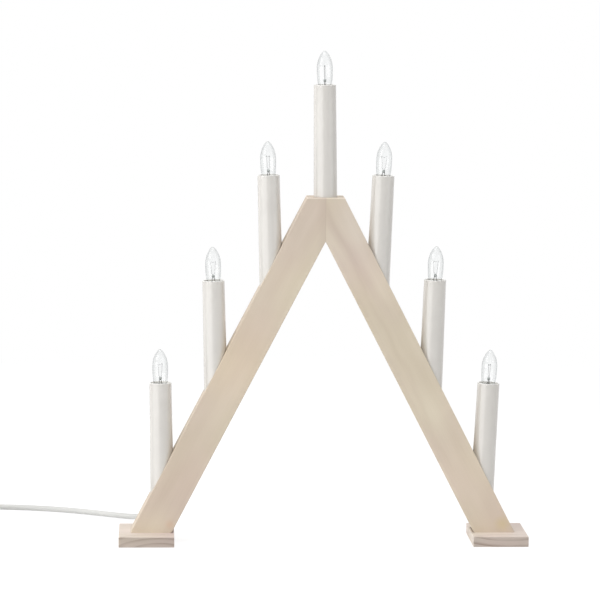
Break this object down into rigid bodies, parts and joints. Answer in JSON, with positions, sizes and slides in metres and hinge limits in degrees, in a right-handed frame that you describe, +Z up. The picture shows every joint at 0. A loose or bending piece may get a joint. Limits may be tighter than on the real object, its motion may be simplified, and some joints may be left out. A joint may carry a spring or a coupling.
{
  "type": "candle arch",
  "caption": "Electric candle arch: wooden legs mitred to a peak on flat feet, plastic candle sleeves with screw-in flame-shaped lamps up both slopes, and a mains cord with a plug.",
  "frame": {"origin": "on the surface under the arch, midway between the outer ends of the feet and midway from front to back", "axes": "+X along the arch to the right foot, +Y from front to back, +Z up"},
  "size_m": [0.5419, 0.1692, 0.4087],
  "materials": {
    "whitewashed_wood": "matte",
    "plain_wood": "matte",
    "ivory_plastic": "satin",
    "holder_plastic": "matte",
    "clear_glass": "polished",
    "nickel_plate": "polished",
    "brass": "satin",
    "spring_bronze": "satin",
    "black_insulator": "gloss",
    "dark_wire": "satin",
    "plated_steel": "satin",
    "wire_insulation": "matte",
    "cord_plastic": "satin"
  },
  "bodies": {
    "arch": {"left_leg": "whitewashed_wood", "right_leg": "whitewashed_wood", "mitre_dowels": "plain_wood", "left_foot": "whitewashed_wood", "right_foot": "whitewashed_wood", "foot_screws": "plated_steel", "candle_tube_left_low": "ivory_plastic", "candle_tube_left_mid": "ivory_plastic", "candle_tube_left_high": "ivory_plastic", "candle_tube_top": "ivory_plastic", "candle_tube_right_high": "ivory_plastic", "candle_tube_right_mid": "ivory_plastic", "candle_tube_right_low": "ivory_plastic", "lamp_holder_left_low": "holder_plastic", "lamp_holder_left_mid": "holder_plastic", "lamp_holder_left_high": "holder_plastic", "lamp_holder_top": "holder_plastic", "lamp_holder_right_high": "holder_plastic", "lamp_holder_right_mid": "holder_plastic", "lamp_holder_right_low": "holder_plastic", "holder_shells": "brass", "centre_contacts": "spring_bronze", "series_wires": "wire_insulation", "return_wire": "wire_insulation", "feed_wire": "wire_insulation", "groove_staples": "plated_steel", "strain_relief": "cord_plastic", "mains_cord": "cord_plastic", "mains_cord_coil": "cord_plastic", "plug_body": "cord_plastic", "plug_pins": "nickel_plate"},
    "bulb_left_low": {"bulb_glass_left_low": "clear_glass", "bulb_cap_left_low": "nickel_plate", "bulb_contact_left_low": "black_insulator", "filament_left_low": "dark_wire"},
    "bulb_left_mid": {"bulb_glass_left_mid": "clear_glass", "bulb_cap_left_mid": "nickel_plate", "bulb_contact_left_mid": "black_insulator", "filament_left_mid": "dark_wire"},
    "bulb_left_high": {"bulb_glass_left_high": "clear_glass", "bulb_cap_left_high": "nickel_plate", "bulb_contact_left_high": "black_insulator", "filament_left_high": "dark_wire"},
    "bulb_top": {"bulb_glass_top": "clear_glass", "bulb_cap_top": "nickel_plate", "bulb_contact_top": "black_insulator", "filament_top": "dark_wire"},
    "bulb_right_high": {"bulb_glass_right_high": "clear_glass", "bulb_cap_right_high": "nickel_plate", "bulb_contact_right_high": "black_insulator", "filament_right_high": "dark_wire"},
    "bulb_right_mid": {"bulb_glass_right_mid": "clear_glass", "bulb_cap_right_mid": "nickel_plate", "bulb_contact_right_mid": "black_insulator", "filament_right_mid": "dark_wire"},
    "bulb_right_low": {"bulb_glass_right_low": "clear_glass", "bulb_cap_right_low": "nickel_plate", "bulb_contact_right_low": "black_insulator", "filament_right_low": "dark_wire"}
  },
  "joints": [
    {"name": "unscrew_left_low", "type": "slide", "parent": "arch", "child": "bulb_left_low", "axis": [-0.0175, 0, 0.9998], "range_m": [0, 0.009]},
    {"name": "unscrew_left_mid", "type": "slide", "parent": "arch", "child": "bulb_left_mid", "axis": [-0.026, 0, 0.9997], "range_m": [0, 0.009]},
    {"name": "unscrew_left_high", "type": "slide", "parent": "arch", "child": "bulb_left_high", "axis": [-0.0315, 0, 0.9995], "range_m": [0, 0.009]},
    {"name": "unscrew_top", "type": "slide", "parent": "arch", "child": "bulb_top", "axis": [-0.014, 0, 0.9999], "range_m": [0, 0.009]},
    {"name": "unscrew_right_high", "type": "slide", "parent": "arch", "child": "bulb_right_high", "axis": [0.04, 0, 0.9992], "range_m": [0, 0.009]},
    {"name": "unscrew_right_mid", "type": "slide", "parent": "arch", "child": "bulb_right_mid", "axis": [0.0295, 0, 0.9996], "range_m": [0, 0.009]},
    {"name": "unscrew_right_low", "type": "slide", "parent": "arch", "child": "bulb_right_low", "axis": [0.0435, 0, 0.9991], "range_m": [0, 0.009]}
  ]
}
